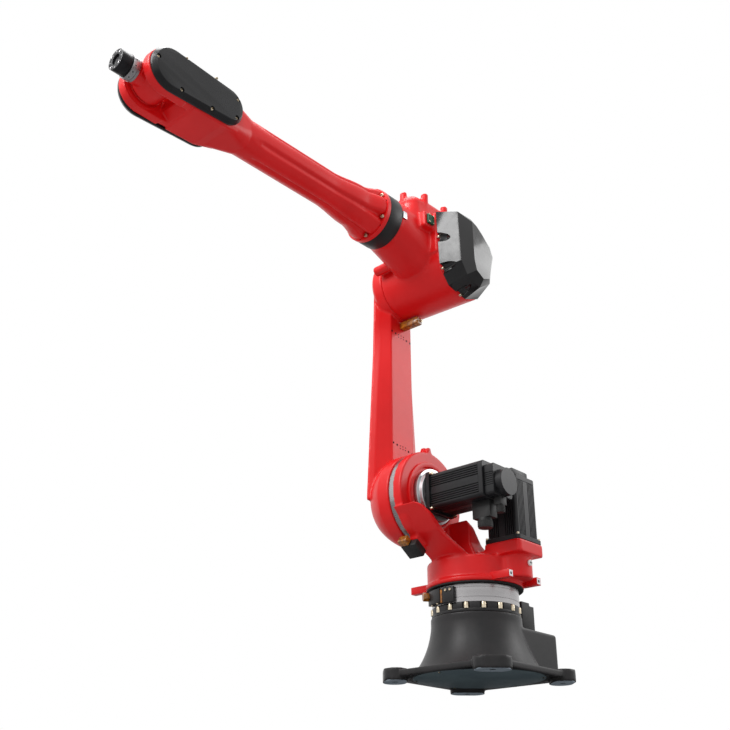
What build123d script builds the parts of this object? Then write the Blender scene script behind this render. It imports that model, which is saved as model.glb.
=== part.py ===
from build123d import *
import math
import os

# Six-axis industrial robot arm, bolted to the floor by four feet.
# Millimetres. Origin on axis 1 at the underside of the feet, +X forward, +Y motor side, +Z up.

# Base
foot_pitch = 350.0
foot_length = 109.0
foot_width = 71.0
foot_height = 35.0
foot_bolt_hole = 18.0
plate_underside = 10.0
plate_thickness = 18.0
plate_width = 416.0
plate_corner = 90.0
neck_radius = 137.0
neck_top = 184.0
neck_straight = 24.0
bell_waist_height = 96.0
bell_waist_radius = 151.0
bell_foot_radius = 188.0
bottom_cover_radius = 196.0
bottom_cover_thickness = 5.0
bottom_cover_clearance = 0.3
rear_box_half_width = 134.0
rear_box_end = 235.0
rear_box_top = 152.0
rear_box_corner = 16.0
rear_box_rounding = 8.0
connector_block_half_width = 60.0
connector_block_front = 160.0
connector_block_back = 203.0
connector_block_top = 257.0
connector_step_back = 227.0
connector_step_top = 248.0

# Axis 1 reducer and its stops
bolt_ring_radius = 134.0
bolt_ring_width = 28.0
reducer_1_radius = 132.0
reducer_1_width = 53.0
running_gap = 0.4
seal_radius = 147.0
seal_width = 4.6
stop_1_reach = 14.0
stop_1_top_gap = 6.0
stop_1_start = -39.0
stop_1_end = 10.0
stop_1_far_start = 200.0
stop_1_far_end = 222.0
stop_1_far_reach = 22.0
stop_1_far_height = 27.0
bumper_1_angle = -37.0
bumper_1_across = 24.0
bumper_1_length = 18.0

# Turret
turret_radius = 144.0
turret_rim_radius = 150.0
turret_rim_height = 14.0
turret_height = 80.0
turret_edge_radius = 6.0
lug_size = 22.0
lug_root = 110.0
lug_reach = 184.0
lug_offset = 72.0
lug_height = 283.0
lug_tapped_hole = 8.0
lug_tapped_depth = 18.0
motor_1_x = -8.0
motor_1_y = 145.0
gear_case_radius = 52.0
gear_case_base = 282.0
plug_radius = 9.0
plug_height = 6.0
plug_angle = 90.0
plug_drop = 25.0
motor_1_plate = 130.0
motor_1_plate_thickness = 38.0
motor_1_step_reach = 30.0

# Servo motors
motor_frame = 112.0
motor_corner = 12.0
fin_count = 7
fin_pitch = 12.0
fin_gap = 5.0
fin_depth = 4.0
motor_flange = 125.0
motor_flange_thickness = 13.0
motor_1_length = 204.0
motor_1_cap_half = 40.0
motor_1_cap_height = 27.0
motor_1_cap_bevel = 5.0

# Axis 2 and shoulder
axis_2_x = 160.0
axis_2_z = 535.0
shoulder_radius = 147.0
shoulder_face = -63.0
shoulder_plate = 30.0
shoulder_wall = 14.0
shoulder_wall_reach = 46.0
shoulder_wall_foot = 64.0
shoulder_wall_top = 484.0
shoulder_wall_flare = 50.0
shoulder_wall_corner = 34.0
shoulder_wall_cut = 12.0
shoulder_front_foot_x = 120.0
shoulder_foot_z = 344.0
shoulder_rear_foot_x = -25.0
shoulder_rear_inner_x = 78.0
shoulder_rear_rib = 8.0
shoulder_rear_web = 40.0
shoulder_front_drop = 55.0
shoulder_rear_top_z = 470.0
shoulder_pad_radius = 88.0
shoulder_tab_width = 13.0
shoulder_tab_rise = 165.0
shoulder_tab_seat = 6.0
stop_block_toe_x = 203.0
stop_block_toe_z = 345.0
stop_block_lean = 34.0
stop_block_length = 50.0
stop_block_thickness = 24.0
stop_block_reach = 24.0
stop_lug_rise = 30.0
bumper_2_length = 22.0
bumper_2_width = 32.0
reducer_2_radius = 143.0
reducer_2_width = 20.0
motor_2_face = -4.0
motor_2_adapter_radius = 76.0
motor_2_length = 206.0
motor_2_cap_length = 32.0
motor_2_cap_inset = 9.0
motor_2_cap_drop = 6.0
encoder_radius = 41.0
encoder_length = 24.0
encoder_drop = 12.0
power_connector_start = 134.0
power_connector_length = 62.0
power_connector_width = 36.0
power_connector_drop = 50.0
power_plug_radius = 21.0
power_plug_drop = 28.0
signal_connector_length = 24.0
signal_connector_width = 28.0
signal_connector_drop = 24.0
signal_plug_radius = 12.0
signal_plug_length = 22.0

# Upper arm
arm_length = 768.0
arm_outer_face = -194.0
arm_panel_face = -143.0
arm_flank = -172.0
arm_flank_inset = 12.0
arm_edge_face = -188.0
arm_edge = 6.0
arm_low_half_width = 124.0
arm_middle_half_width = 109.0
arm_upper_half_width = 93.0
arm_high_half_width = 86.0
arm_panel_half_width = 51.0
arm_dome_bulge = 3.0
arm_boss_radius = 147.0
arm_boss_shoulder = -124.0
arm_boss_end_radius = 101.0
elbow_boss_radius = 116.0
elbow_boss_shoulder = -166.0
elbow_boss_end_radius = 80.0
elbow_face = -130.0
bumper_3_front = 166.0
bumper_3_rear = 138.0
bumper_3_clearance = 7.0
bumper_3_height = 23.0
bumper_3_reach = 75.0

# Elbow
drum_inner_radius = 116.0
drum_outer_radius = 122.0
drum_end = 124.0
axis_4_rise = 93.0
elbow_cover_rise = 147.0
elbow_front_x = 290.0
elbow_wall_y = -104.0
elbow_wall_bevel = 72.0
elbow_top_bevel = 30.0
crown_rise = 223.0
crown_front = 368.0
crown_rear = 46.0
crown_half_width = 90.0
crown_rounding = 38.0
crown_boss_radius = 12.5
crown_boss_height = 14.0
crown_boss_spread = 78.0
crown_boss_front_x = 290.0
crown_boss_rear_x = 185.0
crown_boss_nose_x = 350.0
crown_boss_nose_y = 31.0
neck_flare_start = 262.0
neck_flare_end = 404.0
neck_flare_width = 176.0
neck_flare_height = 196.0
neck_flare_corner = 70.0
elbow_neck_radius = 88.0
stop_3_radius = 17.0
stop_3_reach = 140.0
stop_3_angle = 6.0
stop_3_length = 66.0
cover_size = 100.0
cover_shoulder_y = 185.0
cover_end_y = 206.0
axis_4_ring_radius = 90.0
axis_4_ring_start = 417.0
axis_4_ring_end = 474.0
connector_x = 314.0
connector_rise = 107.0
connector_width = 28.0
connector_height = 34.0
connector_thickness = 9.0
connector_pad_margin = 10.0
connector_pad_y = 116.0

# Forearm and wrist
forearm_flange_radius = 91.0
forearm_flange_width = 16.0
forearm_base_radius = 85.0
forearm_middle_radius = 67.0
forearm_tube_radius = 54.5
forearm_taper_length = 190.0
wrist_flare_length = 302.0
wrist_length = 1172.0
wrist_waist_distance = 220.0
wrist_waist_height = 112.0
wrist_tube_corner = 48.0
wrist_waist_corner = 22.0
wrist_fork_corner = 12.0
cheek_radius = 65.0
cheek_half_width = 67.0
fork_gap_half = 40.0
fork_depth = 64.0
fork_throat = 14.0
wrist_cover_thickness = 14.0
wrist_cover_bevel = 9.0
wrist_cover_length = 190.0
wrist_cover_front_radius = 67.5
wrist_cover_rear_radius = 57.0
hub_half_width = 34.0
hub_radius = 50.0
hub_pin_radius = 30.0
hub_nose_radius = 34.0
flange_ring_radius = 35.0
flange_ring_distance = 62.0
flange_ring_width = 24.0
tool_hub_radius = 31.0
tool_hub_distance = 120.0
tool_pilot_radius = 15.75
tool_pilot_depth = 6.0
tool_bolt_circle = 50.0
tool_bolt_hole = 6.0
tool_bolt_depth = 12.0

# Levels and places that follow from the sizes above
bolt_ring_top = neck_top + bolt_ring_width
reducer_1_top = bolt_ring_top + reducer_1_width
stop_1_top = reducer_1_top - stop_1_top_gap
seal_bottom = reducer_1_top + running_gap
turret_underside = seal_bottom + seal_width
turret_top = turret_underside + turret_height
motor_1_base = turret_top + motor_1_plate_thickness
motor_1_top = motor_1_base + motor_1_length
shoulder_back = shoulder_face + shoulder_plate
reducer_2_outer = shoulder_face - reducer_2_width
arm_near = reducer_2_outer - running_gap
motor_2_end = motor_2_face + motor_2_length
motor_2_cap_end = motor_2_end + motor_2_cap_length
motor_2_underside = axis_2_z - motor_frame / 2
axis_3_z = axis_2_z + arm_length
elbow_top_at_cover = axis_3_z + elbow_cover_rise
crown_top = axis_3_z + crown_rise
connector_z = axis_3_z + connector_rise
axis_4_z = axis_3_z + axis_4_rise
axis_5_x = axis_2_x + wrist_length
forearm_tube_end = axis_5_x - wrist_flare_length
wrist_waist_x = axis_5_x - wrist_waist_distance
fork_root_x = axis_5_x - fork_depth
wrist_cover_rear_x = axis_5_x - wrist_cover_length
flange_ring_start = axis_5_x + flange_ring_distance
flange_ring_end = flange_ring_start + flange_ring_width
tool_hub_end = axis_5_x + tool_hub_distance
forearm_start = axis_4_ring_end + running_gap


def along_x(radius, start, end, z=axis_4_z, y=0.0):
    """A cylinder about a line parallel to X."""
    return Pos((start + end) / 2, y, z) * Rot(0, 90, 0) * Cylinder(radius, end - start)


def along_y(radius, start, end, x, z, end_radius=None):
    """A cylinder, or a cone, about a line parallel to Y."""
    tip = radius if end_radius is None else end_radius
    middle = Pos(x, (start + end) / 2, z) * Rot(-90, 0, 0)
    return middle * (Cylinder(radius, end - start) if tip == radius else Cone(radius, tip, end - start))


def upright(radius, bottom, top, x=0.0, y=0.0):
    """A cylinder about a vertical line."""
    return Pos(x, y, (bottom + top) / 2) * Cylinder(radius, top - bottom)


def block(x0, x1, y0, y1, z0, z1):
    """A box between two corners."""
    return Pos((x0 + x1) / 2, (y0 + y1) / 2, (z0 + z1) / 2) * Box(x1 - x0, y1 - y0, z1 - z0)


def side_plate(points, y0, y1):
    """A polygon drawn in the XZ plane and given a thickness from y0 to y1."""
    face = make_face(Polyline(*[(x, 0, z) for x, z in points], close=True))
    return Pos(0, y0, 0) * extrude(face, amount=y1 - y0, dir=(0, 1, 0))


def across_x(x, sketch):
    """A sketch laid in a plane of constant x, centred on axis 4."""
    return Plane((x, 0, axis_4_z), x_dir=(0, 1, 0), z_dir=(1, 0, 0)) * sketch


def ring_sector(inner, outer, start, end, bottom, top):
    """A piece of an upright ring between two angles in degrees."""
    ring = upright(outer, bottom, top) - upright(inner, bottom - 1, top + 1)
    reach = 2 * outer
    middle = math.radians((start + end) / 2)
    angles = [math.radians(start), middle, math.radians(end)]
    corners = [(0, 0)] + [(reach * math.cos(a), reach * math.sin(a)) for a in angles]
    wedge = extrude(make_face(Polyline(*corners, close=True)), amount=top - bottom + 2)
    return ring & Pos(0, 0, bottom - 1) * wedge


def base_casting():
    plate_top = plate_underside + plate_thickness
    plate = RectangleRounded(plate_width, plate_width, plate_corner)
    body = Pos(0, 0, plate_underside) * extrude(plate, amount=plate_thickness)
    pad = extrude(SlotOverall(foot_length, foot_width, rotation=90), amount=foot_height)
    for k in range(4):
        body += Rot(0, 0, 45 + 90 * k) * Pos(foot_pitch / math.sqrt(2), 0, 0) * pad
    # bell: straight neck above a flank that flares to the plate
    neck_low = neck_top - neck_straight
    flank = ThreePointArc(
        (bell_foot_radius, plate_top), (bell_waist_radius, bell_waist_height), (neck_radius, neck_low)
    )
    rest = Polyline(
        (neck_radius, neck_low), (neck_radius, neck_top), (0, neck_top), (0, plate_underside + 1),
        (bell_foot_radius, plate_underside + 1), (bell_foot_radius, plate_top)
    )
    body += revolve(Plane.XZ * make_face(flank + rest), Axis.Z)
    # box at the rear with the cable outlet on top
    half = rear_box_half_width
    box = block(-rear_box_end, 0, -half, half, plate_top - 1, rear_box_top)
    rear_edges = box.edges().filter_by(Axis.Z).sort_by(Axis.X)[:2]
    box = fillet(rear_edges, rear_box_corner)
    box = fillet(box.faces().sort_by(Axis.Z)[-1].edges(), rear_box_rounding)
    body += box
    # recess for the bottom cover, which closes the inside
    body -= upright(bottom_cover_radius, plate_underside, plate_underside + bottom_cover_thickness)
    for x in (-1, 1):
        for y in (-1, 1):
            body -= upright(foot_bolt_hole / 2, 0, foot_height, x * foot_pitch / 2, y * foot_pitch / 2)
    return body


def base_bottom_cover():
    low = plate_underside
    return upright(bottom_cover_radius - bottom_cover_clearance, low, low + bottom_cover_thickness)


def connector_block():
    half = connector_block_half_width
    tall = block(-connector_block_back, -connector_block_front, -half, half,
                 rear_box_top, connector_block_top)
    step = block(-connector_step_back, -connector_block_back, -half, half, rear_box_top, connector_step_top)
    return tall + step


def axis_1_stop_bracket():
    """A curved bracket bolted to the fixed reducer, below the turning rim."""
    outer = reducer_1_radius + stop_1_reach
    return ring_sector(reducer_1_radius, outer, stop_1_start, stop_1_end, bolt_ring_top, stop_1_top)


def axis_1_stop_block():
    """The shorter block on the other side, clear of the bolted ring."""
    outer = reducer_1_radius + stop_1_far_reach
    low = stop_1_top - stop_1_far_height
    return ring_sector(reducer_1_radius, outer, stop_1_far_start, stop_1_far_end, low, stop_1_top)


def axis_1_bumper():
    """A hexagonal bumper that stands on the outside of the stop block."""
    corner_radius = bumper_1_across / math.sqrt(3)
    high = stop_1_top - corner_radius
    hexagon = extrude(RegularPolygon(corner_radius, 6), amount=bumper_1_length)
    face = reducer_1_radius + stop_1_reach
    return Rot(0, 0, bumper_1_angle) * Pos(face, 0, high) * Rot(0, 90, 0) * hexagon


def shoulder_front_tangent():
    """Where the front flank, rising from its foot, touches the circle of the shoulder."""
    dx = shoulder_front_foot_x - axis_2_x
    dz = shoulder_foot_z - axis_2_z
    reach = math.hypot(dx, dz)
    angle = math.atan2(-dz, -dx) - math.asin(shoulder_radius / reach)
    run = math.sqrt(reach ** 2 - shoulder_radius ** 2)
    return shoulder_front_foot_x + run * math.cos(angle), shoulder_foot_z + run * math.sin(angle)


def wall_front_view():
    """The shoulder walls seen from the front: wider at the foot, rounded off at the top."""
    low = shoulder_foot_z - shoulder_wall
    top = shoulder_wall_top
    reach = shoulder_wall_reach
    points = [
        (shoulder_face, low), (shoulder_wall_foot, low), (shoulder_wall_foot, turret_top + shoulder_wall / 2),
        (reach, turret_top + shoulder_wall_flare), (reach, top - shoulder_wall_corner),
        (reach - shoulder_wall_cut, top - shoulder_wall_cut), (reach - shoulder_wall_corner, top),
        (shoulder_face, top),
    ]
    face = make_face(Polyline(*[(0, y, z) for y, z in points], close=True))
    start = shoulder_rear_foot_x - shoulder_wall
    end = axis_2_x + shoulder_radius + shoulder_wall
    return Pos(start, 0, 0) * extrude(face, amount=end - start, dir=(1, 0, 0))


def stop_block_corner(along, inward):
    """A point of the leaning stop block, from its toe: along its outer face, then in towards the shoulder."""
    lean = math.radians(stop_block_lean)
    x = stop_block_toe_x + along * math.cos(lean) - inward * math.sin(lean)
    return x, stop_block_toe_z + along * math.sin(lean) + inward * math.cos(lean)


def turret_casting():
    body = upright(turret_radius, turret_underside, turret_top)
    body = fillet(body.edges().sort_by(Axis.Z)[-1], turret_edge_radius)
    body += upright(turret_rim_radius, turret_underside, turret_underside + turret_rim_height)
    body += upright(gear_case_radius, gear_case_base, turret_top, motor_1_x, motor_1_y)
    half = motor_1_plate / 2
    square = RectangleRounded(motor_1_plate, motor_1_plate, motor_corner)
    plate = extrude(square, amount=motor_1_plate_thickness)
    body += Pos(motor_1_x, motor_1_y, turret_top) * plate
    step_y = motor_1_y - half - motor_1_step_reach
    body += block(motor_1_x - half, motor_1_x + half, step_y, motor_1_y, turret_top - 1,
                  turret_top + motor_1_plate_thickness / 2)
    # shoulder plate that faces the arm, on its web
    body += along_y(shoulder_radius, shoulder_face, shoulder_back, axis_2_x, axis_2_z)
    body += along_y(shoulder_pad_radius, shoulder_back, motor_2_face - motor_flange_thickness * 2,
                    axis_2_x, axis_2_z)
    tangent_x, tangent_z = shoulder_front_tangent()
    low = shoulder_foot_z
    web = [
        (shoulder_front_foot_x, low), (tangent_x, tangent_z), (axis_2_x, axis_2_z),
        (axis_2_x - shoulder_radius, axis_2_z),
        (shoulder_rear_inner_x - shoulder_rear_web, shoulder_rear_top_z), (shoulder_rear_foot_x, low),
    ]
    body += side_plate(web, shoulder_face, shoulder_back)
    # front and rear walls, open above the turret between them
    view = wall_front_view()
    outer = axis_2_x + shoulder_radius
    front_top = axis_2_z - shoulder_front_drop
    front = side_plate(
        [(shoulder_front_foot_x, low), (tangent_x, tangent_z), (outer, front_top),
         (outer - shoulder_wall, front_top), (tangent_x - shoulder_wall, tangent_z + shoulder_wall),
         (shoulder_front_foot_x - shoulder_wall, turret_top)],
        shoulder_face, shoulder_wall_foot)
    rear = side_plate(
        [(shoulder_rear_inner_x, low), (shoulder_rear_inner_x, shoulder_rear_top_z),
         (shoulder_rear_inner_x - shoulder_rear_rib, shoulder_rear_top_z), (shoulder_rear_foot_x, low)],
        shoulder_face, shoulder_wall_foot)
    body += (front + rear) & view
    # tapered tab on the crest of the shoulder
    tab_half = shoulder_tab_width / 2
    seat = axis_2_z + shoulder_radius - shoulder_tab_seat
    tip = axis_2_z + shoulder_tab_rise
    body += side_plate(
        [(axis_2_x - 2 * tab_half, seat), (axis_2_x + 2 * tab_half, seat), (axis_2_x + tab_half, tip),
         (axis_2_x - tab_half, tip)],
        shoulder_face, shoulder_back)
    # lug under the front wall that carries the axis 2 stop, which leans with the flank
    rear_x, rear_z = stop_block_corner(0, stop_block_thickness)
    front_x, front_z = stop_block_corner(stop_block_length, stop_block_thickness)
    body += side_plate(
        [(rear_x, rear_z), (front_x, front_z),
         (front_x, front_z + stop_lug_rise), (rear_x, rear_z + stop_lug_rise)],
        shoulder_face, shoulder_back)
    return body


def turret_lugs():
    """Four lugs that stand out of the turret's rim, with a tapped hole in each end."""
    rim = upright(turret_rim_radius, turret_underside, turret_underside + turret_rim_height)
    disc = upright(turret_radius, turret_underside, turret_top)
    low = lug_height - lug_size / 2
    lugs = []
    for x in (-lug_offset, lug_offset):
        for side in (-1, 1):
            y0, y1 = sorted((side * lug_root, side * lug_reach))
            lug = block(x - lug_size / 2, x + lug_size / 2, y0, y1, low, low + lug_size) - disc - rim
            h0, h1 = sorted((side * (lug_reach - lug_tapped_depth), side * lug_reach))
            lugs.append(lug - along_y(lug_tapped_hole / 2, h0, h1, x, lug_height))
    return Compound(children=lugs)


def gear_case_plug():
    angle = math.radians(plug_angle)
    x = motor_1_x + gear_case_radius * math.cos(angle)
    y = motor_1_y + gear_case_radius * math.sin(angle)
    turned = Pos(x, y, turret_top - plug_drop) * Rot(0, 0, plug_angle) * Rot(0, 90, 0)
    return turned * Pos(0, 0, plug_height / 2) * Cylinder(plug_radius, plug_height)


def finned_frame():
    """Cross-section of a servo motor, with cooling fins on its four sides."""
    section = RectangleRounded(motor_frame, motor_frame, motor_corner)
    for side in range(4):
        for fin in range(fin_count):
            offset = (fin - (fin_count - 1) / 2) * fin_pitch
            gap = Pos(offset, motor_frame / 2 - fin_depth / 2) * Rectangle(fin_gap, fin_depth)
            section -= Rot(0, 0, 90 * side) * gap
    return section


def axis_1_motor():
    skirt = extrude(RectangleRounded(motor_frame, motor_frame, motor_corner), amount=motor_flange_thickness)
    frame = extrude(finned_frame(), amount=motor_1_length)
    return Pos(motor_1_x, motor_1_y, motor_1_base) * (skirt + frame)


def axis_1_motor_cap():
    x, y, half = motor_1_x, motor_1_y, motor_1_cap_half
    cap = block(x - half, x + half, y - half, y + half, motor_1_top, motor_1_top + motor_1_cap_height)
    return chamfer(cap.faces().sort_by(Axis.Z)[-1].edges(), motor_1_cap_bevel)


def axis_2_motor_adapter():
    low = motor_2_face - 2 * motor_flange_thickness
    return along_y(motor_2_adapter_radius, low, motor_2_face, axis_2_x, axis_2_z)


def axis_2_motor():
    square = RectangleRounded(motor_flange, motor_flange, motor_corner)
    flange = extrude(square, amount=motor_flange_thickness)
    frame = extrude(finned_frame(), amount=motor_2_length)
    return Pos(axis_2_x, motor_2_face, axis_2_z) * Rot(-90, 0, 0) * (flange + frame)


def axis_2_motor_cap():
    side = motor_frame - 2 * motor_2_cap_inset
    box = extrude(RectangleRounded(side, side, motor_corner), amount=motor_2_cap_length)
    cap = Pos(axis_2_x, motor_2_end, axis_2_z - motor_2_cap_drop) * Rot(-90, 0, 0) * box
    drum_z = axis_2_z - encoder_drop
    return cap + along_y(encoder_radius, motor_2_cap_end, motor_2_cap_end + encoder_length, axis_2_x, drum_z)


def axis_2_power_connector():
    """A square socket below the motor with the round body of its plug."""
    half = power_connector_width / 2
    start = power_connector_start
    end = start + power_connector_length
    low = motor_2_underside - power_connector_drop
    socket = block(axis_2_x - half, axis_2_x + half, start, end, low, motor_2_underside)
    return socket + upright(power_plug_radius, low - power_plug_drop, low, axis_2_x, (start + end) / 2)


def axis_2_signal_connector():
    """The smaller socket below the end cap, with a round plug."""
    half = signal_connector_width / 2
    top = axis_2_z - motor_frame / 2 + motor_2_cap_inset - motor_2_cap_drop
    low = top - signal_connector_drop
    start = motor_2_cap_end - signal_connector_length
    middle = start + signal_connector_length / 2
    socket = block(axis_2_x - half, axis_2_x + half, start, motor_2_cap_end, low, top)
    return socket + upright(signal_plug_radius, low - signal_plug_length, low, axis_2_x, middle)


def axis_2_stop_block():
    low, high = 0, stop_block_thickness
    ends = [(0, low), (stop_block_length, low), (stop_block_length, high), (0, high)]
    corners = [stop_block_corner(along, inward) for along, inward in ends]
    return side_plate(corners, shoulder_face - stop_block_reach, shoulder_back)


def axis_2_stop_bumper():
    near, far = stop_block_length, stop_block_length + bumper_2_length
    ends = [(near, 0), (far, 0), (far, stop_block_thickness), (near, stop_block_thickness)]
    corners = [stop_block_corner(along, inward) for along, inward in ends]
    outer = shoulder_face - stop_block_reach
    return side_plate(corners, outer, outer + bumper_2_width)


def axis_2_reducer():
    return along_y(reducer_2_radius, reducer_2_outer, shoulder_face, axis_2_x, axis_2_z)


def arm_section(half_width, z):
    """One level of the arm: flat panel on the inside, slanting flanks, flat outer face."""
    points = [
        (arm_panel_half_width, arm_panel_face), (half_width - arm_flank_inset, arm_flank),
        (half_width, arm_edge_face), (half_width - arm_edge, arm_outer_face),
    ]
    mirrored = [(-x, y) for x, y in reversed(points)]
    return make_face(Polyline(*[(axis_2_x + x, y, z) for x, y in points + mirrored], close=True))


def arm_boss(radius, near, shoulder_y, end_radius, z):
    """A round end of the arm, domed towards its outer face."""
    middle_radius = (radius + end_radius) / 2 + arm_dome_bulge
    middle_y = (shoulder_y + arm_outer_face) / 2 - arm_dome_bulge
    dome = ThreePointArc((radius, shoulder_y), (middle_radius, middle_y), (end_radius, arm_outer_face))
    rest = Polyline(
        (end_radius, arm_outer_face), (0, arm_outer_face), (0, near), (radius, near), (radius, shoulder_y)
    )
    return Pos(axis_2_x, 0, z) * revolve(make_face(dome + rest), Axis.Y)


def upper_arm_casting():
    widths = [
        (arm_low_half_width, 0), (arm_middle_half_width, arm_length / 3),
        (arm_upper_half_width, arm_length * 2 / 3), (arm_high_half_width, arm_length),
    ]
    link = loft([arm_section(width, axis_2_z + rise) for width, rise in widths], ruled=True)
    low_boss = arm_boss(arm_boss_radius, arm_near, arm_boss_shoulder, arm_boss_end_radius, axis_2_z)
    high_boss = arm_boss(elbow_boss_radius, elbow_face - running_gap, elbow_boss_shoulder,
                         elbow_boss_end_radius, axis_3_z)
    return link + low_boss + high_boss


def axis_3_stop_bumper():
    top = axis_3_z - drum_inner_radius - bumper_3_clearance
    reach = arm_panel_face + bumper_3_reach
    return block(bumper_3_rear, bumper_3_front, arm_panel_face, reach, top - bumper_3_height, top)


def elbow_housing():
    drum = along_y(drum_inner_radius, elbow_face, drum_end, axis_2_x, axis_3_z, drum_outer_radius)
    rear = axis_2_x - drum_outer_radius
    upper = block(rear, elbow_front_x, elbow_wall_y, drum_end, axis_3_z, elbow_top_at_cover)
    far_corners = upper.edges().filter_by(Axis.Z).sort_by(Axis.Y)[:2]
    upper = chamfer(far_corners, elbow_wall_bevel)
    rear_top = upper.edges().filter_by(Axis.Y).sort_by(Axis.Z)[-2:].sort_by(Axis.X)[0]
    upper = chamfer(rear_top, elbow_top_bevel)
    crown = block(crown_rear, crown_front, -crown_half_width, crown_half_width, axis_4_z, crown_top)
    top_edges = crown.faces().sort_by(Axis.Z)[-1].edges()
    crown = fillet(crown.edges().filter_by(Axis.Z) + top_edges, crown_rounding)
    flare_drop = elbow_top_at_cover - neck_flare_height / 2 - axis_4_z
    mouth = Pos((drum_end + elbow_wall_y) / 2, flare_drop) * RectangleRounded(
        neck_flare_width, neck_flare_height, neck_flare_corner)
    flare = loft([across_x(neck_flare_start, mouth), across_x(neck_flare_end, Circle(elbow_neck_radius))])
    neck = along_x(elbow_neck_radius, axis_2_x, axis_4_ring_start)
    # round lug that meets the bumper on the arm
    angle = math.radians(stop_3_angle)
    lug_x = axis_2_x + stop_3_reach * math.cos(angle)
    lug_z = axis_3_z + stop_3_reach * math.sin(angle)
    lug = along_y(stop_3_radius, elbow_face, elbow_face + stop_3_length, lug_x, lug_z)
    # tapped bosses on the crown, for lifting eyes
    places = [(crown_boss_nose_x, crown_boss_nose_y)]
    for x in (crown_boss_front_x, crown_boss_rear_x):
        places += [(x, -crown_boss_spread), (x, crown_boss_spread)]
    low = crown_top - crown_rounding
    high = crown_top + crown_boss_height
    bosses = [upright(crown_boss_radius, low, high, x, y) for x, y in places]
    # raised pad for the connector beside the cover
    half_x = connector_width / 2 + connector_pad_margin
    half_z = connector_height / 2 + connector_pad_margin
    pad = block(connector_x - half_x, connector_x + half_x, connector_pad_y / 2, connector_pad_y,
                connector_z - half_z, connector_z + half_z)
    housing = drum + upper + crown + flare + neck + lug + pad
    for boss in bosses:
        housing += boss
    return housing


def elbow_connector():
    half_x = connector_width / 2
    half_z = connector_height / 2
    outer = connector_pad_y + connector_thickness
    return block(connector_x - half_x, connector_x + half_x, connector_pad_y, outer,
                 connector_z - half_z, connector_z + half_z)


def cover_outline(shares, y):
    """A face whose corners are shares of the cover's size, from axis 3."""
    corners = [(axis_2_x + cover_size * x, y, axis_3_z + cover_size * z) for x, z in shares]
    return make_face(Polyline(*corners, close=True))


def elbow_cover():
    """Faceted cover over the axis 3 drive. Corners run round from the top at the front, from axis 3."""
    seam = [
        (1.30, 1.47), (0.30, 1.47), (-0.60, 1.39), (-1.08, 1.02), (-1.24, 0.42),
        (-1.18, -0.33), (-0.80, -0.95), (-0.10, -1.23), (0.75, -1.08), (1.18, -0.59),
    ]
    shoulder = [
        (0.92, 1.40), (0.21, 1.44), (-0.27, 1.18), (-0.81, 0.81), (-0.95, 0.47),
        (-0.80, -0.06), (-0.68, -0.64), (-0.10, -1.03), (0.55, -0.81), (0.83, -0.41),
    ]
    end = [
        (0.43, 1.15), (0.20, 1.09), (-0.10, 0.89), (-0.48, 0.55), (-0.60, 0.25),
        (-0.48, -0.23), (-0.38, -0.67), (-0.05, -0.81), (0.30, -0.63), (0.40, -0.28),
    ]
    lower = loft([cover_outline(seam, drum_end), cover_outline(shoulder, cover_shoulder_y)], ruled=True)
    upper = loft([cover_outline(shoulder, cover_shoulder_y), cover_outline(end, cover_end_y)], ruled=True)
    return lower + upper


def axis_4_ring():
    return along_x(axis_4_ring_radius, axis_4_ring_start, axis_4_ring_end)


def forearm_casting():
    flange_end = forearm_start + forearm_flange_width
    taper_end = flange_end + forearm_taper_length
    flange = along_x(forearm_flange_radius, forearm_start, flange_end)
    cone = loft([
        across_x(flange_end, Circle(forearm_base_radius)),
        across_x(flange_end + forearm_taper_length / 3, Circle(forearm_middle_radius)),
        across_x(taper_end, Circle(forearm_tube_radius)),
    ])
    tube = along_x(forearm_tube_radius, taper_end, forearm_tube_end)
    width = 2 * cheek_half_width
    tall = 2 * cheek_radius
    narrow = 2 * forearm_tube_radius
    wrist = loft([
        across_x(forearm_tube_end, RectangleRounded(narrow, narrow, wrist_tube_corner)),
        across_x(wrist_waist_x, RectangleRounded(width, wrist_waist_height, wrist_waist_corner)),
        across_x(fork_root_x + 1, RectangleRounded(width, tall - 4, wrist_fork_corner)),
    ], ruled=True)
    body = flange + cone + tube + wrist
    for side in (-1, 1):
        y0, y1 = sorted((side * fork_gap_half, side * cheek_half_width))
        body += block(fork_root_x, axis_5_x, y0, y1, axis_4_z - cheek_radius, axis_4_z + cheek_radius)
        body += along_y(cheek_radius, y0, y1, axis_5_x, axis_4_z)
    # throat of the fork, cut back at an angle above and below
    for side in (-1, 1):
        edge = axis_4_z + side * cheek_radius
        throat = [
            (fork_root_x - 2 * fork_throat, edge + side), (fork_root_x + 2, edge + side),
            (fork_root_x + 2, edge - side * 2 * fork_throat),
        ]
        body -= side_plate(throat, -fork_gap_half, fork_gap_half)
    return body


def wrist_cover(side):
    inner = side * cheek_half_width
    outer = side * (cheek_half_width + wrist_cover_thickness)
    y0, y1 = sorted((inner, outer))
    front = along_y(wrist_cover_front_radius, y0, y1, axis_5_x, axis_4_z)
    rear = along_y(wrist_cover_rear_radius, y0, y1, wrist_cover_rear_x, axis_4_z)
    # the straight edges are tangent to both round ends
    run = axis_5_x - wrist_cover_rear_x
    lean = math.asin((wrist_cover_front_radius - wrist_cover_rear_radius) / run)
    up, back = math.cos(lean), math.sin(lean)
    corners = []
    for x, radius, level in [
        (axis_5_x, wrist_cover_front_radius, -1), (axis_5_x, wrist_cover_front_radius, 1),
        (wrist_cover_rear_x, wrist_cover_rear_radius, 1), (wrist_cover_rear_x, wrist_cover_rear_radius, -1),
    ]:
        corners.append((x - radius * back, axis_4_z + level * radius * up))
    cover = front + rear + side_plate(corners, y0, y1)
    face = cover.faces().filter_by(Axis.Y).sort_by(Axis.Y)[-1 if side > 0 else 0]
    return chamfer(face.edges(), wrist_cover_bevel)


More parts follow.
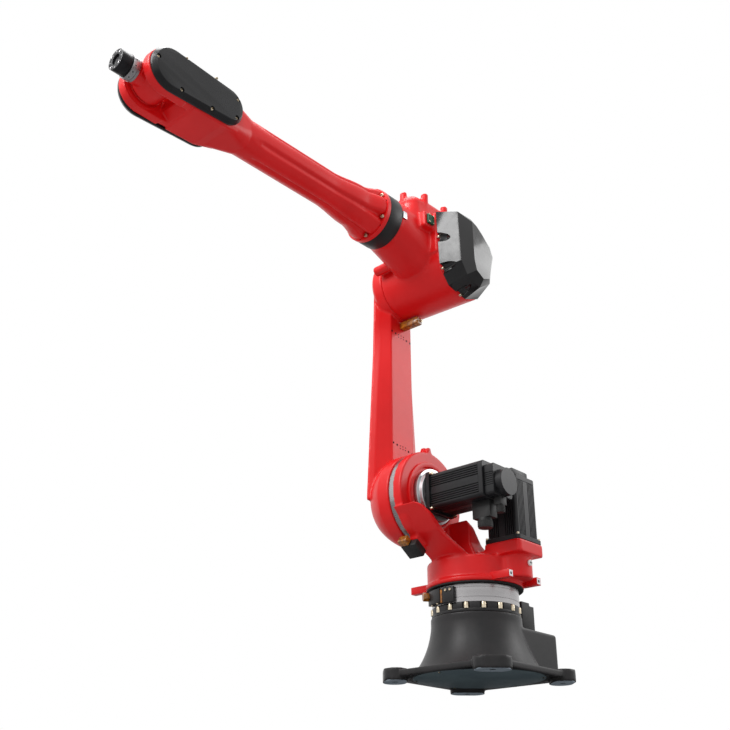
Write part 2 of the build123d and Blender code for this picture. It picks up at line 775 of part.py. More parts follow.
def wrist_hub():
    drum = along_y(hub_radius, -hub_half_width, hub_half_width, axis_5_x, axis_4_z)
    pins = along_y(hub_pin_radius, -fork_gap_half + running_gap, fork_gap_half - running_gap,
                   axis_5_x, axis_4_z)
    nose = along_x(hub_nose_radius, axis_5_x, flange_ring_start)
    return drum + pins + nose


def wrist_flange_ring():
    return along_x(flange_ring_radius, flange_ring_start, flange_ring_end)


def tool_hub():
    hub = along_x(tool_hub_radius, flange_ring_end + running_gap, tool_hub_end)
    hub -= along_x(tool_pilot_radius, tool_hub_end - tool_pilot_depth, tool_hub_end)
    for k in range(4):
        angle = math.radians(45 + 90 * k)
        y = tool_bolt_circle / 2 * math.cos(angle)
        z = tool_bolt_circle / 2 * math.sin(angle)
        hub -= along_x(tool_bolt_hole / 2, tool_hub_end - tool_bolt_depth, tool_hub_end, axis_4_z + z, y)
    return hub


parts = {
    "base_casting": base_casting(),
    "base_bottom_cover": base_bottom_cover(),
    "connector_block": connector_block(),
    "reducer_bolt_ring": upright(bolt_ring_radius, neck_top, bolt_ring_top),
    "axis_1_reducer": upright(reducer_1_radius, bolt_ring_top, reducer_1_top),
    "axis_1_stop_bracket": axis_1_stop_bracket(),
    "axis_1_stop_block": axis_1_stop_block(),
    "axis_1_stop_bumper": axis_1_bumper(),
    "turret_seal": upright(seal_radius, seal_bottom, turret_underside),
    "turret_casting": turret_casting(),
    "turret_lugs": turret_lugs(),
    "gear_case_plug": gear_case_plug(),
    "axis_1_motor": axis_1_motor(),
    "axis_1_motor_cap": axis_1_motor_cap(),
    "axis_2_motor_adapter": axis_2_motor_adapter(),
    "axis_2_motor": axis_2_motor(),
    "axis_2_motor_cap": axis_2_motor_cap(),
    "axis_2_power_connector": axis_2_power_connector(),
    "axis_2_signal_connector": axis_2_signal_connector(),
    "axis_2_stop_block": axis_2_stop_block(),
    "axis_2_stop_bumper": axis_2_stop_bumper(),
    "axis_2_reducer": axis_2_reducer(),
    "upper_arm_casting": upper_arm_casting(),
    "axis_3_stop_bumper": axis_3_stop_bumper(),
    "elbow_housing": elbow_housing(),
    "elbow_cover": elbow_cover(),
    "elbow_connector": elbow_connector(),
    "axis_4_ring": axis_4_ring(),
    "forearm_casting": forearm_casting(),
    "wrist_cover_left": wrist_cover(1),
    "wrist_cover_right": wrist_cover(-1),
    "wrist_hub": wrist_hub(),
    "wrist_flange_ring": wrist_flange_ring(),
    "tool_hub": tool_hub(),
}

os.makedirs("parts", exist_ok=True)
for name, shape in parts.items():
    export_step(shape, f"parts/{name}.step")
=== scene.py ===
import math

import bmesh
import bpy
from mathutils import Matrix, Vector


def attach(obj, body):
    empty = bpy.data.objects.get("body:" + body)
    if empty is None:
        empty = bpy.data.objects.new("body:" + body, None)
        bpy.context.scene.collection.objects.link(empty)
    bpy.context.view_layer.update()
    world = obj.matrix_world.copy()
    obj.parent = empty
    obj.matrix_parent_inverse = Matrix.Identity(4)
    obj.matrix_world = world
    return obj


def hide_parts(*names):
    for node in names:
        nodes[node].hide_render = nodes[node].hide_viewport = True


# Six-axis industrial robot arm on its cast base, seen from below. Metres, in the frame of the CAD model.

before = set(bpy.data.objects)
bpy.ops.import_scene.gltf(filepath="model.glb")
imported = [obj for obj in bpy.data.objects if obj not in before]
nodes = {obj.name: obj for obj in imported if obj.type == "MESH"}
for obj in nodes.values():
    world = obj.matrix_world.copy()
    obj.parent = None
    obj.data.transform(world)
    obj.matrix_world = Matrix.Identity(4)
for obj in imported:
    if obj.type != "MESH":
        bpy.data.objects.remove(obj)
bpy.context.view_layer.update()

# Camera, from the place and the angle of the photograph: below the arm, looking up at about 25 degrees.
camera = bpy.data.objects.new("camera", bpy.data.cameras.new("camera"))
bpy.context.scene.collection.objects.link(camera)
camera.location = (2.5144, 1.8344, -0.432)
camera.rotation_mode = "QUATERNION"
camera.rotation_quaternion = Vector((-0.668, -0.608, 0.428)).to_track_quat("-Z", "Y")
camera.data.lens = 50.0
camera.data.sensor_width = 36.0
camera.data.clip_start = 0.05
camera.data.clip_end = 60.0
bpy.context.scene.camera = camera

# Grey iron bell with a square foot plate and four pads, painted satin black over the sand-cast skin.
# The pads are milled flat underneath and drilled for the anchor bolts.


def linear(hex_colour):
    """A colour written as sRGB hex, as the linear RGBA that the shader wants."""
    parts = [int(hex_colour[i:i + 2], 16) / 255 for i in (1, 3, 5)]
    return tuple(c / 12.92 if c <= 0.04045 else ((c + 0.055) / 1.055) ** 2.4 for c in parts) + (1.0,)


def add(material, kind, settings=(), links=(), values=()):
    """Adds one node to a material, with its settings, its socket values and the links into it."""
    tree = material.node_tree
    node = tree.nodes.new(kind)
    for name, value in dict(settings).items():
        setattr(node, name, value)
    for name, value in dict(values).items():
        node.inputs[name].default_value = value
    for name, source in dict(links).items():
        tree.links.new(source, node.inputs[name])
    return node


def new_surface(name, roughness, metallic=0.0, specular=0.3, coat=0.0):
    """A material with one Principled shader whose uniform values sit on its own sockets."""
    material = bpy.data.materials.new(name)
    material.use_nodes = True
    shader = material.node_tree.nodes["Principled BSDF"]
    shader.inputs["Roughness"].default_value = roughness
    shader.inputs["Metallic"].default_value = metallic
    shader.inputs["Specular IOR Level"].default_value = 0.5 if metallic else specular
    shader.inputs["Coat Weight"].default_value = coat
    shader.inputs["Coat Roughness"].default_value = 0.1
    return material, shader


def skin(material, shader, dark, light, patch_mm, grain_mm, depth_mm, rough_low, rough_high,
         stretch=(1, 1, 1)):
    """Colour that drifts between two tones, roughness that varies with it, and a fine surface grain."""
    link = material.node_tree.links.new
    place = add(material, "ShaderNodeTexCoord").outputs["Object"]
    place = add(material, "ShaderNodeMapping", links={"Vector": place}, values={"Scale": stretch}).outputs[0]
    drift = add(material, "ShaderNodeTexNoise", links={"Vector": place},
                values={"Scale": 1000.0 / patch_mm, "Detail": 4.0, "Roughness": 0.6})
    grain = add(material, "ShaderNodeTexNoise", links={"Vector": place},
                values={"Scale": 1000.0 / grain_mm, "Detail": 3.0, "Roughness": 0.55})
    tone = add(material, "ShaderNodeMapRange", links={"Value": drift.outputs["Fac"]},
               values={"From Min": 0.35, "From Max": 0.65})
    colour = add(material, "ShaderNodeMix", {"data_type": "RGBA"}, {"Factor": tone.outputs[0]})
    colour.inputs[6].default_value = linear(dark)
    colour.inputs[7].default_value = linear(light)
    link(colour.outputs[2], shader.inputs["Base Color"])
    rough = add(material, "ShaderNodeMapRange", links={"Value": grain.outputs["Fac"]},
                values={"From Min": 0.3, "From Max": 0.7, "To Min": rough_low, "To Max": rough_high})
    link(rough.outputs[0], shader.inputs["Roughness"])
    bump = add(material, "ShaderNodeBump", links={"Height": grain.outputs["Fac"]},
               values={"Strength": 0.5, "Distance": depth_mm / 1000.0})
    link(bump.outputs[0], shader.inputs["Normal"])


# Satin black enamel on iron: the skin of the casting shows through as a fine pebble of about 1.5 mm,
# and its lighter, slightly brown tone, mixed in random patches, is a painted sheen.
black_enamel, shader = new_surface("satin_black_enamel_on_cast_iron", 0.4, specular=0.3)
skin(black_enamel, shader, "#1F1F20", "#292728", patch_mm=60, grain_mm=1.5, depth_mm=0.25, rough_low=0.32,
     rough_high=0.5)

# Milled iron: bright bluish grey with fine cutter arcs about 1.2 mm apart.
milled_iron, shader = new_surface("milled_iron", 0.45, metallic=0.35)
skin(milled_iron, shader, "#8995A0", "#A0ACB6", patch_mm=25, grain_mm=1.2, depth_mm=0.06, rough_low=0.35,
     rough_high=0.5, stretch=(1, 0.15, 1))


def paint(piece, material):
    """Gives a piece one material."""
    piece.data.materials.clear()
    piece.data.materials.append(material)
    return piece


def fit(piece, body, material, stands_for=()):
    """Gives a piece its material and its body, and hides the CAD nodes that it stands for."""
    paint(piece, material)
    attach(piece, body)
    if stands_for:
        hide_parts(*stands_for)
    return piece


def mesh_piece(name, build):
    """A new object from a function that fills a bmesh."""
    mesh = bpy.data.meshes.new(name)
    bm = bmesh.new()
    build(bm)
    bmesh.ops.recalc_face_normals(bm, faces=bm.faces)
    bm.to_mesh(mesh)
    bm.free()
    piece = bpy.data.objects.new(name, mesh)
    bpy.context.scene.collection.objects.link(piece)
    return piece


def apply_modifiers(piece):
    """Bakes the modifiers into the mesh, so that the piece is one plain mesh."""
    depsgraph = bpy.context.evaluated_depsgraph_get()
    mesh = bpy.data.meshes.new_from_object(piece.evaluated_get(depsgraph))
    piece.modifiers.clear()
    old = piece.data
    piece.data = mesh
    bpy.data.meshes.remove(old)
    return piece


def shade(piece, angle=35.0):
    """Smooth shading that keeps edges sharper than the angle."""
    mesh = piece.data
    bm = bmesh.new()
    bm.from_mesh(mesh)
    limit = math.radians(angle)
    for face in bm.faces:
        face.smooth = True
    for edge in bm.edges:
        edge.smooth = len(edge.link_faces) == 2 and edge.calc_face_angle(0.0) < limit
    bm.to_mesh(mesh)
    bm.free()
    return piece


def copy_of(name, *cad):
    """One mesh with the joined surfaces of CAD nodes."""
    def build(bm):
        for node in cad:
            bm.from_mesh(nodes[node].data)
        bmesh.ops.remove_doubles(bm, verts=bm.verts, dist=1e-5)
    return mesh_piece(name, build)


def cast(piece, voxel_mm, passes, keep=1.0):
    """Turns a piece into one skin with the soft inside and outside corners of a casting."""
    remesh = piece.modifiers.new("remesh", "REMESH")
    remesh.mode = "VOXEL"
    remesh.voxel_size = voxel_mm / 1000.0
    smooth = piece.modifiers.new("smooth", "SMOOTH")
    smooth.factor = 0.5
    smooth.iterations = passes
    fewer = piece.modifiers.new("fewer", "DECIMATE")
    fewer.ratio = keep
    apply_modifiers(piece)
    for face in piece.data.polygons:
        face.use_smooth = True
    return piece


FLAT_WITHIN = math.radians(0.6)
SHARP_ABOVE = math.radians(32.0)


def soften(piece, width_mm, segments=2):
    """Breaks every sharp edge of a piece with a small round, as a file or a mould leaves it."""
    bm = bmesh.new()
    bm.from_mesh(piece.data)
    bmesh.ops.dissolve_limit(bm, angle_limit=FLAT_WITHIN, verts=bm.verts, edges=bm.edges)
    bm.to_mesh(piece.data)
    bm.free()
    bevel = piece.modifiers.new("bevel", "BEVEL")
    bevel.width = width_mm / 1000.0
    bevel.segments = segments
    bevel.limit_method = "ANGLE"
    bevel.angle_limit = SHARP_ABOVE
    bevel.miter_outer = "MITER_ARC"
    apply_modifiers(piece)
    return shade(piece, 40.0)


def eased(name, width_mm, *cad, segments=2):
    """CAD nodes with their sharp edges broken."""
    return soften(copy_of(name, *cad), width_mm, segments)


base = cast(copy_of("base_cast_body", "base_casting"), 3.5, 3, keep=0.5)
fit(base, "base", black_enamel, ["base_casting"])

# Half the pitch of the four anchor holes.
FOOT = 0.175


def ring(bm, profile, centre, axis, count=64):
    """Turns a profile of (radius, place along the axis) round an axis through the centre."""
    axis = Vector(axis).normalized()
    side = axis.orthogonal().normalized()
    other = axis.cross(side)
    rows = []
    for k in range(count):
        a = 2 * math.pi * k / count
        ray = side * math.cos(a) + other * math.sin(a)
        rows.append([bm.verts.new(Vector(centre) + ray * r + axis * h) for r, h in profile])
    for k in range(count):
        near, far = rows[k], rows[(k + 1) % count]
        for j in range(len(profile) - 1):
            bm.faces.new([near[j], far[j], far[j + 1], near[j + 1]])
    bmesh.ops.remove_doubles(bm, verts=bm.verts, dist=1e-6)


def turned(name, profile, centre, axis, count=64):
    """A lathe-turned piece, shaded smooth between its edges."""
    return shade(mesh_piece(name, lambda bm: ring(bm, profile, centre, axis, count)))


def pad_faces(bm):
    """An oblong milled face under each foot, set across the corner and open at the anchor hole."""
    half_flat, end_radius, hole_radius, count = 0.019, 0.033, 0.0095, 40
    inside, face = 0.0012, -0.0002
    for x in (-FOOT, FOOT):
        for y in (-FOOT, FOOT):
            along = Vector((-math.copysign(1, y) * math.copysign(1, x), 1, 0)).normalized()
            turn = math.atan2(along.y, along.x)
            outline, hole = [], []
            for k in range(count):
                a = 2 * math.pi * k / count
                shift = half_flat if math.cos(a) >= 0 else -half_flat
                px, py = shift + end_radius * math.cos(a), end_radius * math.sin(a)
                outline.append((x + px * math.cos(turn) - py * math.sin(turn),
                                y + px * math.sin(turn) + py * math.cos(turn)))
                hole.append((x + hole_radius * math.cos(turn + a), y + hole_radius * math.sin(turn + a)))
            rows = [[bm.verts.new((px, py, z)) for px, py in line]
                    for line, z in ((outline, inside), (outline, face), (hole, face), (hole, inside))]
            for j in range(4):
                for k in range(count):
                    low, high = rows[j], rows[(j + 1) % 4]
                    bm.faces.new([low[k], low[(k + 1) % count], high[(k + 1) % count], high[k]])


pads = shade(mesh_piece("base_milled_pad_faces", pad_faces))
fit(pads, "base", milled_iron)

# Flat disc of steel sheet, cut and powder coated, let into the underside of the foot plate.
# Six small button screws hold it round its rim.

# Powder-coated sheet, greenish grey as the primer shows through, with a fine even texture.
coated_sheet, shader = new_surface("powder_coated_sheet", 0.5)
skin(coated_sheet, shader, "#46535A", "#4F5D62", patch_mm=140, grain_mm=2.0, depth_mm=0.08, rough_low=0.42,
     rough_high=0.55)

cover = eased("base_cover_disc", 1.0, "base_bottom_cover")
fit(cover, "base", coated_sheet, ["base_bottom_cover"])

# Zinc-plated steel with a faint yellow passivate: a warm silver, turned, so fine rings about 0.4 mm apart.
plated_steel, shader = new_surface("yellow_passivated_steel", 0.28, metallic=1.0)
skin(plated_steel, shader, "#B9AB93", "#D8CCB6", patch_mm=6, grain_mm=0.8, depth_mm=0.03, rough_low=0.2,
     rough_high=0.36)


def screw(bm, place, axis, radius, height):
    """A socket head screw, its head standing out along the axis from the place."""
    grip = radius * 0.5
    deep = height * 0.45
    profile = [(radius, -0.0005), (radius, height * 0.85), (radius * 0.86, height), (grip * 1.12, height),
               (grip, height - deep), (0.0, height - deep)]
    part = bmesh.new()
    ring(part, profile, place, axis, 18)
    bmesh.ops.recalc_face_normals(part, faces=part.faces)
    temp = bpy.data.meshes.new("part")
    part.to_mesh(temp)
    part.free()
    bm.from_mesh(temp)
    bpy.data.meshes.remove(temp)


def screws(name, places, axis, radius, height, body):
    """A set of like screws. Each place may bring its own axis."""
    def build(bm):
        for place in places:
            own = place[1] if isinstance(place[0], (tuple, Vector)) else axis
            spot = place[0] if isinstance(place[0], (tuple, Vector)) else place
            screw(bm, spot, own, radius, height)
    piece = shade(mesh_piece(name, build))
    return fit(piece, body, plated_steel)


def polar(radius, degrees):
    """A place round axis 1, seen from above."""
    a = math.radians(degrees)
    return radius * math.cos(a), radius * math.sin(a)


screws("base_cover_screws", [polar(0.188, 60 * k) + (0.0105,) for k in range(6)], (0, 0, -1), 0.0035, 0.003,
       "base")

# Socket housing on the rear box, where the supply enters, with a lower step behind.
# It is moulded from black nylon in one piece.

# Glass-filled nylon: dull black with the sparkle of a spark-eroded mould, about 0.8 mm.
nylon, shader = new_surface("moulded_black_nylon", 0.5)
skin(nylon, shader, "#232323", "#2C2C2C", patch_mm=30, grain_mm=0.8, depth_mm=0.05, rough_low=0.42,
     rough_high=0.6)

fit(eased("supply_socket_housing", 2.5, "connector_block"), "base", nylon,
    ["connector_block"])

# Gear head of axis 1, turned and ground from steel and left bare.
# A black flange bolts it to the neck of the base with sixteen M10 cap screws.

# Turned and ground steel: bright, with lathe rings about 1 mm apart that smear the highlight sideways.
turned_steel, shader = new_surface("turned_steel", 0.3, metallic=1.0)
skin(turned_steel, shader, "#9C9A9B", "#ABA9AA", patch_mm=60, grain_mm=0.9, depth_mm=0.012, rough_low=0.24,
     rough_high=0.34, stretch=(0.05, 0.05, 1))

BOLTS = [1.5 + 22.5 * k for k in range(16)]


def loft(bm, rows):
    """Skins a row of closed outlines and caps both ends."""
    count = len(rows[0])
    for near, far in zip(rows, rows[1:]):
        for j in range(count):
            bm.faces.new([near[j], far[j], far[(j + 1) % count], near[(j + 1) % count]])
    bm.faces.new(rows[0])
    bm.faces.new(rows[-1])


def arc_block(bm, inner, outer, start, end, low, high):
    """A block bent round axis 1, between two radii, two angles in degrees and two levels."""
    steps = 6
    rows = []
    for k in range(steps + 1):
        a = math.radians(start + (end - start) * k / steps)
        rows.append([bm.verts.new((r * math.cos(a), r * math.sin(a), z))
                     for r, z in ((inner, low), (outer, low), (outer, high), (inner, high))])
    loft(bm, rows)


def bolt_flange(bm):
    """Plain rim below, and above it a tooth between each pair of screws."""
    ring(bm, [(0.0, 0.184), (0.134, 0.184), (0.134, 0.1925), (0.1235, 0.1925), (0.1235, 0.2115),
              (0.0, 0.2115)], (0, 0, 0), (0, 0, 1), 128)
    for degrees in BOLTS:
        arc_block(bm, 0.118, 0.1335, degrees + 4.6, degrees + 17.9, 0.190, 0.2112)


fit(soften(mesh_piece("axis_1_bolt_flange", bolt_flange), 0.7), "base", black_enamel,
    ["reducer_bolt_ring"])
LOW, TOP = 0.212, 0.265
reducer = turned("axis_1_gear_head", [
    (0.0, LOW), (0.132, LOW), (0.132, LOW + 0.0125), (0.1312, LOW + 0.0131), (0.1312, LOW + 0.0143),
    (0.132, LOW + 0.0149), (0.132, TOP - 0.0115), (0.1312, TOP - 0.011), (0.1312, TOP - 0.0098),
    (0.132, TOP - 0.0093), (0.132, TOP - 0.001), (0.131, TOP), (0.0, TOP)], (0, 0, 0), (0, 0, 1), 128)
fit(reducer, "base", turned_steel, ["axis_1_reducer"])

screws("axis_1_flange_screws", [polar(0.1298, degrees) + (0.1925,) for degrees in BOLTS], (0, 0, 1), 0.0078,
       0.0175, "base")

# Stops of axis 1: a curved black bracket screwed to the gear head, a plain block on the far side,
# and an amber polyurethane bumper in a passivated cup.

# Amber polyurethane in a passivated cup: translucent orange brown, mottled over about 6 mm.
amber_bumper, shader = new_surface("amber_polyurethane", 0.3, specular=0.5, coat=0.4)
skin(amber_bumper, shader, "#6A3A10", "#C07A22", patch_mm=9, grain_mm=3.0, depth_mm=0.15, rough_low=0.22,
     rough_high=0.4)


def stop_bracket(bm):
    """Two blocks with a slot between, on a foot that goes down to the bolted ring."""
    arc_block(bm, 0.1322, 0.1465, -38.5, -10.0, 0.2175, 0.2585)
    arc_block(bm, 0.1322, 0.1435, -6.5, 9.8, 0.2135, 0.2585)
    arc_block(bm, 0.1322, 0.1400, -12.0, -4.0, 0.2135, 0.2560)


fit(soften(mesh_piece("axis_1_stop_bracket_blocks", stop_bracket), 1.0), "base", black_enamel,
    ["axis_1_stop_bracket"])
fit(soften(mesh_piece("axis_1_stop_slide", lambda bm: arc_block(
    bm, 0.1380, 0.1440, -9.6, -7.0, 0.2150, 0.2540)), 0.5), "base", amber_bumper)
fit(eased("axis_1_far_stop", 1.0, "axis_1_stop_block"), "base", black_enamel,
    ["axis_1_stop_block"])
fit(eased("axis_1_bumper_cup", 1.2, "axis_1_stop_bumper"), "base", amber_bumper,
    ["axis_1_stop_bumper"])
arc_screws = []
for degrees in (-0.6, 5.6):
    arc_screws.append((polar(0.1436, degrees) + (0.2495,), polar(1.0, degrees) + (0.0,)))
for degrees in (-31, -17):
    arc_screws.append((polar(0.1400, degrees) + (0.2175,), (0.0, 0.0, -1.0)))
screws("axis_1_stop_screws", arc_screws, (1, 0, 0), 0.0040, 0.0035, "base")

# Lip seal moulded from black rubber. It is pressed into the turning rim, and keeps dust out of the gap
# above the fixed gear head.

# Nitrile rubber: matt black with mould bloom in patches of about 20 mm.
nitrile, shader = new_surface("nitrile_rubber", 0.7)
skin(nitrile, shader, "#1C1C1C", "#262626", patch_mm=20, grain_mm=1.0, depth_mm=0.05, rough_low=0.6,
     rough_high=0.8)
fit(eased("turret_lip_seal", 1.0, "turret_seal"), "turret", nitrile, ["turret_seal"])

# Iron turret with the shoulder plate, its curved webs and the seat of the axis 1 motor, in signal red.
# The paint is thick and semi-gloss, so the sand skin shows only as a slight orange peel.

# Semi-gloss red enamel: orange peel about 3 mm across, colour even to within a shade.
red_enamel, shader = new_surface("signal_red_enamel_on_cast_iron", 0.3, specular=0.35)
skin(red_enamel, shader, "#DE1114", "#E9181B", patch_mm=180, grain_mm=3.0, depth_mm=0.12, rough_low=0.3,
     rough_high=0.42)

turret = cast(copy_of("turret_cast_body", "turret_casting"), 3.5, 5, keep=0.6)
fit(turret, "turret", red_enamel, ["turret_casting"])
fit(eased("turret_lifting_lugs", 1.2, "turret_lugs"), "turret", red_enamel, ["turret_lugs"])

# Bare aluminium: pale, softly reflecting, with a milled grain about 1 mm wide.
bare_aluminium, shader = new_surface("milled_aluminium", 0.35, metallic=1.0)
skin(bare_aluminium, shader, "#BDBEC0", "#D0D1D3", patch_mm=20, grain_mm=1.2, depth_mm=0.03, rough_low=0.28,
     rough_high=0.42, stretch=(1, 0.2, 1))


def lug_faces(bm):
    """Spot-faced end of each lug, bare round its tapped hole."""
    count, half_side, hole_radius = 32, 0.0088, 0.0042
    for x in (-0.072, 0.072):
        for side in (-1, 1):
            square, hole = [], []
            for k in range(count):
                a = 2 * math.pi * k / count
                reach = half_side / max(abs(math.cos(a)), abs(math.sin(a)))
                square.append((reach * math.cos(a), reach * math.sin(a)))
                hole.append((hole_radius * math.cos(a), hole_radius * math.sin(a)))
            rows = [[bm.verts.new((x + px, side * y, 0.283 + pz)) for px, pz in line]
                    for line, y in ((square, 0.1838), (square, 0.1846), (hole, 0.1846), (hole, 0.1838))]
            for j in range(3):
                for k in range(count):
                    low, high = rows[j], rows[j + 1]
                    bm.faces.new([low[k], low[(k + 1) % count], high[(k + 1) % count], high[k]])


fit(shade(mesh_piece("turret_lug_spot_faces", lug_faces)), "turret", bare_aluminium)


def discs(name, places, axis, radius, height, body, material):
    """Plain round buttons, or thin near-black discs that paint the shade in the mouths of tapped holes."""
    def build(bm):
        for place in places:
            ring(bm, [(radius, -0.0004), (radius, height), (0.0, height)], place, axis, 20)
    return fit(shade(mesh_piece(name, build)), body, material)


# Painted shade inside a tapped hole or slot: a near-black, rough surface that returns almost no light.
hole_shade, shader = new_surface("painted_shade_in_holes_and_slots", 0.8, specular=0.1)
skin(hole_shade, shader, "#0B0B0B", "#141312", patch_mm=4, grain_mm=0.8, depth_mm=0.02, rough_low=0.7,
     rough_high=0.9)
# Near-black discs on the lug ends: painted shade in the mouths of the tapped holes.
for side, hand in ((-1, "right"), (1, "left")):
    discs("turret_lug_holes_" + hand, [(x, side * 0.1838, 0.283) for x in (-0.072, 0.072)], (0, side, 0),
          0.0043, 0.0003, "turret", hole_shade)

# Raised lip round the seat of the shoulder motor, turned after casting and painted with the rest.
X2, Z2 = 0.160, 0.535
fit(turned("shoulder_seat_lip", [
    (0.112, -0.034), (0.112, -0.0285), (0.1105, -0.0265), (0.098, -0.0255), (0.0965, -0.0262),
    (0.0955, -0.034)], (X2, 0, Z2), (0, 1, 0), 96), "turret", red_enamel)


def slab(bm, outline, across, up, place, low, high, edge=0.0008):
    """A plate of any outline with broken edges, laid out on two directions and thick along the third."""
    across, up = Vector(across), Vector(up)
    out = across.cross(up)
    rows = []
    for inset, height in ((edge, low), (0, low + edge), (0, high - edge), (edge, high)):
        row = []
        for px, py in outline:
            shrink = 1 - inset / max(math.hypot(px, py), 1e-6)
            row.append(bm.verts.new(Vector(place) + across * px * shrink + up * py * shrink + out * height))
        rows.append(row)
    count = len(outline)
    for j in range(3):
        for k in range(count):
            low_row, high_row = rows[j], rows[j + 1]
            bm.faces.new([low_row[k], low_row[(k + 1) % count], high_row[(k + 1) % count], high_row[k]])
    bm.faces.new(rows[0])
    bm.faces.new(rows[3])


# Pointed tab on the rim of the shoulder plate, for sighting the zero of axis 2.
tab = soften(mesh_piece("shoulder_sighting_tab", lambda bm: slab(
    bm, [(-0.021, 0.134), (0.021, 0.134), (0.0065, 0.167), (-0.0065, 0.167)], (-1, 0, 0), (0, 0, 1),
    (X2, -0.0625, Z2), 0.0, 0.0130, 0.0001)), 1.5)
fit(tab, "turret", red_enamel)

# White plug in the side of the gear case: a moulded cap with a cross slot.
white_moulding, shader = new_surface("white_polyethylene", 0.4)
skin(white_moulding, shader, "#EDEDEA", "#F4F4F1", patch_mm=12, grain_mm=0.8, depth_mm=0.04, rough_low=0.35,
     rough_high=0.5)
fit(eased("gear_case_filler_plug", 1.0, "gear_case_plug"), "turret", white_moulding,
    ["gear_case_plug"])


def plug_slots(bm):
    """The two bars of the cross slot, thin sheets a hair in front of the plug's face, painted dark as shade.
    """
    x0, y0, z0 = -0.008, 0.2033, 0.325
    for half_x, half_z in ((0.0062, 0.0011), (0.0011, 0.0062)):
        corners = [(-half_x, -half_z), (half_x, -half_z), (half_x, half_z), (-half_x, half_z)]
        bm.faces.new([bm.verts.new((x0 + x, y0, z0 + z)) for x, z in corners])


# The slot bars carry the near-black of the holes: painted shade.
fit(mesh_piece("gear_case_plug_slots", plug_slots), "turret", hole_shade)

# Servo motor of axis 1, standing on the turret: a die-cast aluminium frame with cooling fins, painted
# satin black, and a square end cap. Four cap screws hold its flange.

# Satin black motor paint over die-cast aluminium: smoother than the castings, dark with a soft sheen.
motor_paint, shader = new_surface("satin_black_motor_paint", 0.35)
skin(motor_paint, shader, "#19191B", "#212123", patch_mm=40, grain_mm=1.2, depth_mm=0.06, rough_low=0.28,
     rough_high=0.44)
# Dark anodised frame: a grey with more shine on the flats between the fins.
anodised, shader = new_surface("dark_anodised_aluminium", 0.35, metallic=0.5)
skin(anodised, shader, "#3E3E41", "#4C4C50", patch_mm=30, grain_mm=1.0, depth_mm=0.04, rough_low=0.3,
     rough_high=0.45)

M1 = (-0.008, 0.145, 0.388)
FINS = [s * (0.0135 + 0.0068 * k) for k in range(5) for s in (-1, 1)]


def rounded_square(half, corner, grooves=(), gap=0.0034, depth=0.0042):
    """Outline of a square bar with round corners, with like grooves in its four sides."""
    count = 6
    points = []
    for side in range(4):
        face = []
        for g in sorted(grooves):
            face += [(half, g - gap / 2), (half - depth, g - gap / 3), (half - depth, g + gap / 3),
                     (half, g + gap / 2)]
        for k in range(count + 1):
            a = math.radians(90 * k / count)
            face.append((half - corner + corner * math.cos(a), half - corner + corner * math.sin(a)))
        turn = math.radians(90 * side)
        points += [(x * math.cos(turn) - y * math.sin(turn), x * math.sin(turn) + y * math.cos(turn))
                   for x, y in face]
    return points


def servo_motor(name, body, place, across, up, length, stands_for):
    """Finned frame between a flange and a plain end plate, in one piece of paint."""
    def build(bm):
        slab(bm, rounded_square(0.0625, 0.011), across, up, place, 0.0, 0.013)
        slab(bm, rounded_square(0.0555, 0.011, grooves=FINS), across, up, place, 0.0125, length - 0.0155)
        slab(bm, rounded_square(0.0558, 0.012), across, up, place, length - 0.016, length, 0.0015)
    fit(shade(mesh_piece(name, build)), body, motor_paint, [stands_for])


servo_motor("axis_1_motor_frame", "turret", M1, (1, 0, 0), (0, 1, 0), 0.204, "axis_1_motor")
fit(eased("axis_1_motor_end_cap", 1.5, "axis_1_motor_cap"), "turret", motor_paint,
    ["axis_1_motor_cap"])
MOTOR_CORNERS = [(x, y) for x in (-0.0555, 0.0555) for y in (-0.0555, 0.0555)]
screws("axis_1_motor_screws", [(M1[0] + x, M1[1] + y, M1[2] + 0.013) for x, y in MOTOR_CORNERS],
       (0, 0, 1), 0.0046, 0.006, "turret")

# The same make of servo motor on its side, driving the shoulder through an aluminium adapter.
# It carries a round encoder drum and two round plug connectors underneath.

fit(turned("axis_2_adapter_plate", [
    (0.0, -0.0325), (0.0865, -0.0325), (0.0880, -0.0310), (0.0880, -0.0180), (0.0870, -0.0170),
    (0.0800, -0.0165), (0.0790, -0.0060), (0.0775, -0.0044), (0.0, -0.0044)], (X2, 0, Z2), (0, 1, 0), 96),
    "turret", bare_aluminium, ["axis_2_motor_adapter"])
servo_motor("axis_2_motor_frame", "turret", (X2, -0.004, Z2), (0, 0, 1), (1, 0, 0), 0.206, "axis_2_motor")


def motor_end_cap(bm):
    """Grooved square housing of the brake with the round encoder drum behind it."""
    grooves = [0.0062 * k - 0.0186 for k in range(7)]
    slab(bm, rounded_square(0.0470, 0.009, grooves=grooves, gap=0.0026, depth=0.002), (0, 0, 1), (1, 0, 0),
         (X2, 0.202, 0.529), -0.0005, 0.032, 0.0015)
    ring(bm, [(0.0, 0.030), (0.041, 0.030), (0.041, 0.0545), (0.0402, 0.0555), (0.0, 0.0555)],
         (X2, 0.202, 0.523), (0, 1, 0), 72)


fit(shade(mesh_piece("axis_2_motor_end_cap", motor_end_cap)), "turret", motor_paint,
    ["axis_2_motor_cap"])
fit(eased("axis_2_power_socket", 1.5, "axis_2_power_connector"), "turret", nylon,
    ["axis_2_power_connector"])
fit(eased("axis_2_signal_socket", 1.2, "axis_2_signal_connector"), "turret", nylon,
    ["axis_2_signal_connector"])
encoder = turned("axis_2_encoder_plate", [
    (0.0, 0.0), (0.0385, 0.0), (0.0392, 0.0006), (0.0392, 0.0012), (0.0387, 0.0017), (0.0, 0.0019)],
    (X2, 0.2555, Z2 - 0.012), (0, 1, 0), 64)
fit(encoder, "turret", anodised)
screws("axis_2_motor_screws", [(X2 + x, 0.009, Z2 + z) for x, z in MOTOR_CORNERS], (0, 1, 0),
       0.0050, 0.009, "turret")


